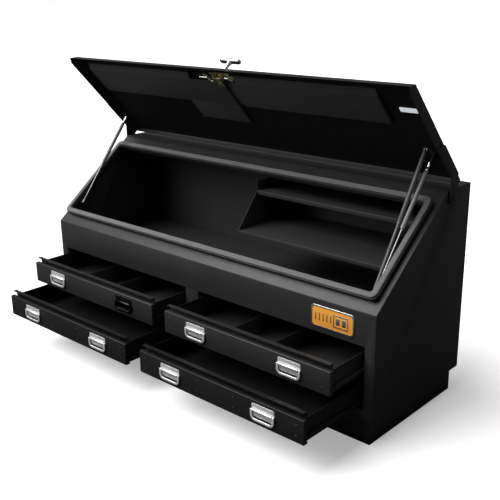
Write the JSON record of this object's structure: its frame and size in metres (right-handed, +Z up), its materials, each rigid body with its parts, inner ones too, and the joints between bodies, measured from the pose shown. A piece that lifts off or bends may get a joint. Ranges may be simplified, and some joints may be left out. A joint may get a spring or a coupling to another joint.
{
  "type": "slant-front tool box",
  "caption": "Black steel tool box on a plinth: a sloping lift-up lid on gas struts over a shelved compartment, with drawers below that have bail handles.",
  "frame": {"origin": "on the ground under the middle of the plinth", "axes": "+X to the right seen from the front, +Y to the rear, +Z up"},
  "size_m": [1.8002, 0.9366, 1.2826],
  "materials": {
    "black_powder_coat": "satin black powder coat with a fine texture",
    "drawer_powder_coat": "satin black powder coat, slightly smoother",
    "chrome": "bright chrome plate",
    "black_chrome": "dark polished plate",
    "zinc": "yellow passivated zinc",
    "stay_paint": "dark grey enamel",
    "foam_seal": "open-cell grey foam"
  },
  "bodies": {
    "strut_cylinder_left": {"strut_cylinder_left": "stay_paint"},
    "strut_rod_left": {"strut_rod_left": "chrome"},
    "strut_cylinder_right": {"strut_cylinder_right": "stay_paint"},
    "strut_rod_right": {"strut_rod_right": "chrome"},
    "stay_lower_tube": {"stay_lower_tube": "stay_paint"},
    "stay_upper_sleeve": {"stay_upper_sleeve": "stay_paint"},
    "latch_handle": {"latch_handle": "chrome"},
    "latch_bolt": {"latch_bolt": "zinc"},
    "lid": {"lid_panel": "black_powder_coat", "lid_stiffener": "black_powder_coat", "hinge_arm_left": "black_powder_coat", "hinge_arm_right": "black_powder_coat", "latch_plate": "zinc"},
    "drawer_top_left": {"drawer_box_top_left": "drawer_powder_coat", "drawer_front_top_left": "drawer_powder_coat", "drawer_divider_top_left_1": "drawer_powder_coat", "drawer_divider_top_left_2": "drawer_powder_coat", "handle_plate_top_left_1": "chrome", "handle_plate_top_left_2": "black_chrome"},
    "bail_top_left_1": {"handle_bail_top_left_1": "chrome"},
    "bail_top_left_2": {"handle_bail_top_left_2": "black_chrome"},
    "drawer_top_right": {"drawer_box_top_right": "drawer_powder_coat", "drawer_front_top_right": "drawer_powder_coat", "drawer_divider_top_right_1": "drawer_powder_coat", "drawer_divider_top_right_2": "drawer_powder_coat", "handle_plate_top_right_1": "chrome", "handle_plate_top_right_2": "chrome"},
    "bail_top_right_1": {"handle_bail_top_right_1": "chrome"},
    "bail_top_right_2": {"handle_bail_top_right_2": "chrome"},
    "drawer_bottom_left": {"drawer_box_bottom_left": "drawer_powder_coat", "drawer_front_bottom_left": "drawer_powder_coat", "handle_plate_bottom_left_1": "chrome", "handle_plate_bottom_left_2": "chrome"},
    "bail_bottom_left_1": {"handle_bail_bottom_left_1": "chrome"},
    "bail_bottom_left_2": {"handle_bail_bottom_left_2": "chrome"},
    "drawer_bottom_right": {"drawer_box_bottom_right": "drawer_powder_coat", "drawer_front_bottom_right": "drawer_powder_coat", "handle_plate_bottom_right_1": "chrome", "handle_plate_bottom_right_2": "chrome"},
    "bail_bottom_right_1": {"handle_bail_bottom_right_1": "chrome"},
    "bail_bottom_right_2": {"handle_bail_bottom_right_2": "chrome"},
    "cabinet": {"plinth": "black_powder_coat", "cabinet_side_left": "black_powder_coat", "cabinet_side_right": "black_powder_coat", "back_panel": "black_powder_coat", "front_fascia": "black_powder_coat", "slant_frame": "black_powder_coat", "weather_seal": "foam_seal", "latch_keeper": "zinc", "top_ledge": "black_powder_coat", "cabinet_floor": "black_powder_coat", "compartment_deck": "black_powder_coat", "bay_partition": "black_powder_coat", "runner_liner_left": "black_powder_coat", "runner_liner_right": "black_powder_coat", "shelf_side_panel": "black_powder_coat", "shelf_lower": "black_powder_coat", "shelf_upper": "black_powder_coat", "hinge_bolt_left": "black_powder_coat", "hinge_bolt_right": "black_powder_coat"}
  },
  "joints": [
    {"name": "lid_hinge", "type": "hinge", "parent": "cabinet", "child": "lid", "pos_m": [0, 0.16, 0.82], "axis": [1, 0, 0], "range_deg": [0, 85.5]},
    {"name": "strut_left_head", "type": "hinge", "parent": "lid", "child": "strut_cylinder_left", "pos_m": [-0.8295, 0.08872, 0.95165], "axis": [1, 0, 0], "range_deg": [-99.31, 0]},
    {"name": "strut_left_stroke", "type": "slide", "parent": "strut_cylinder_left", "child": "strut_rod_left", "axis": [0, 0.6205, 0.7842], "range_m": [0, 0.18343]},
    {"name": "strut_right_head", "type": "hinge", "parent": "lid", "child": "strut_cylinder_right", "pos_m": [0.8295, 0.08872, 0.95165], "axis": [1, 0, 0], "range_deg": [-99.31, 0]},
    {"name": "strut_right_stroke", "type": "slide", "parent": "strut_cylinder_right", "child": "strut_rod_right", "axis": [0, 0.6205, 0.7842], "range_m": [0, 0.18343]},
    {"name": "stay_foot", "type": "hinge", "parent": "cabinet", "child": "stay_lower_tube", "pos_m": [0.8125, -0.21939, 0.53236], "axis": [1, 0, 0], "range_deg": [-7.79, 0]},
    {"name": "stay_stroke", "type": "slide", "parent": "stay_lower_tube", "child": "stay_upper_sleeve", "axis": [0, 0.5477, 0.8367], "range_m": [-0.25533, 0]},
    {"name": "latch_turn", "type": "hinge", "parent": "lid", "child": "latch_handle", "pos_m": [0, -0.10184, 1.21668], "axis": [0, -0.7343, -0.6789], "range_deg": [0, 90]},
    {"name": "latch_bolt_slide", "type": "slide", "parent": "lid", "child": "latch_bolt", "axis": [0, -0.6789, 0.7343], "range_m": [0, 0.01424]},
    {"name": "drawer_top_left_slide", "type": "slide", "parent": "cabinet", "child": "drawer_top_left", "axis": [0, -1, 0], "range_m": [-0.183, 0.267]},
    {"name": "bail_top_left_1_swing", "type": "hinge", "parent": "drawer_top_left", "child": "bail_top_left_1", "pos_m": [-0.667, -0.48905, 0.324], "axis": [-1, 0, 0], "range_deg": [0, 90]},
    {"name": "bail_top_left_2_swing", "type": "hinge", "parent": "drawer_top_left", "child": "bail_top_left_2", "pos_m": [-0.213, -0.48905, 0.324], "axis": [-1, 0, 0], "range_deg": [0, 90]},
    {"name": "drawer_top_right_slide", "type": "slide", "parent": "cabinet", "child": "drawer_top_right", "axis": [0, -1, 0], "range_m": [-0.188, 0.262]},
    {"name": "bail_top_right_1_swing", "type": "hinge", "parent": "drawer_top_right", "child": "bail_top_right_1", "pos_m": [0.213, -0.49405, 0.324], "axis": [-1, 0, 0], "range_deg": [0, 90]},
    {"name": "bail_top_right_2_swing", "type": "hinge", "parent": "drawer_top_right", "child": "bail_top_right_2", "pos_m": [0.667, -0.49405, 0.324], "axis": [-1, 0, 0], "range_deg": [0, 90]},
    {"name": "drawer_bottom_left_slide", "type": "slide", "parent": "cabinet", "child": "drawer_bottom_left", "axis": [0, -1, 0], "range_m": [-0.326, 0.124]},
    {"name": "bail_bottom_left_1_swing", "type": "hinge", "parent": "drawer_bottom_left", "child": "bail_bottom_left_1", "pos_m": [-0.667, -0.63205, 0.204], "axis": [-1, 0, 0], "range_deg": [0, 90]},
    {"name": "bail_bottom_left_2_swing", "type": "hinge", "parent": "drawer_bottom_left", "child": "bail_bottom_left_2", "pos_m": [-0.213, -0.63205, 0.204], "axis": [-1, 0, 0], "range_deg": [0, 90]},
    {"name": "drawer_bottom_right_slide", "type": "slide", "parent": "cabinet", "child": "drawer_bottom_right", "axis": [0, -1, 0], "range_m": [-0.323, 0.127]},
    {"name": "bail_bottom_right_1_swing", "type": "hinge", "parent": "drawer_bottom_right", "child": "bail_bottom_right_1", "pos_m": [0.213, -0.62905, 0.204], "axis": [-1, 0, 0], "range_deg": [0, 90]},
    {"name": "bail_bottom_right_2_swing", "type": "hinge", "parent": "drawer_bottom_right", "child": "bail_bottom_right_2", "pos_m": [0.667, -0.62905, 0.204], "axis": [-1, 0, 0], "range_deg": [0, 90]}
  ],
  "couplings": [
    {"joint": "strut_left_head", "follows": "lid_hinge", "ratio": -1.1614},
    {"joint": "strut_left_stroke", "follows": "lid_hinge", "m_per_rad": 0.12285},
    {"joint": "strut_right_head", "follows": "lid_hinge", "ratio": -1.1614},
    {"joint": "strut_right_stroke", "follows": "lid_hinge", "m_per_rad": 0.12285},
    {"joint": "stay_foot", "follows": "lid_hinge", "ratio": -0.091044},
    {"joint": "stay_stroke", "follows": "lid_hinge", "m_per_rad": -0.17103},
    {"joint": "latch_bolt_slide", "follows": "latch_turn", "m_per_rad": 0.009003}
  ]
}
